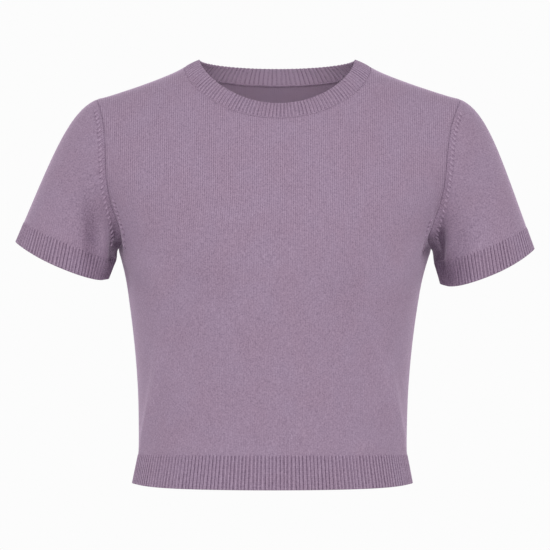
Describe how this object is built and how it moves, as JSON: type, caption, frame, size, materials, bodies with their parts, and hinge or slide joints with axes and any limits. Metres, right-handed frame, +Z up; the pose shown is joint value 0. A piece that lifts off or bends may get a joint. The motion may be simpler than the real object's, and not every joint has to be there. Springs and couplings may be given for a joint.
{
  "type": "crop top",
  "caption": "Cropped short-sleeved jumper in fine plain knit with a round ribbed neckband, ribbed cuffs and a ribbed hem, filled out as worn and hollow.",
  "frame": {"origin": "midway between the two shoulder seams, at the height of their middles, where the wearer's shoulders carry the garment", "axes": "+X across the garment towards the viewer's right as it is seen from the front, +Y from front to back, +Z up"},
  "size_m": [0.5196, 0.2087, 0.4254],
  "materials": {
    "plain_knit": "fine plain viscose-blend knit in dusty mauve, matt with a soft bloom at the edges",
    "rib_knit": "ribbed knit of the same yarn, matt"
  },
  "bodies": {
    "root": {"front_panel": "plain_knit", "back_panel": "plain_knit", "sleeve_left": "plain_knit", "sleeve_right": "plain_knit", "neckband": "rib_knit", "hem_rib_front": "rib_knit", "hem_rib_back": "rib_knit", "cuff_rib_left": "rib_knit", "cuff_rib_right": "rib_knit"}
  },
  "joints": []
}
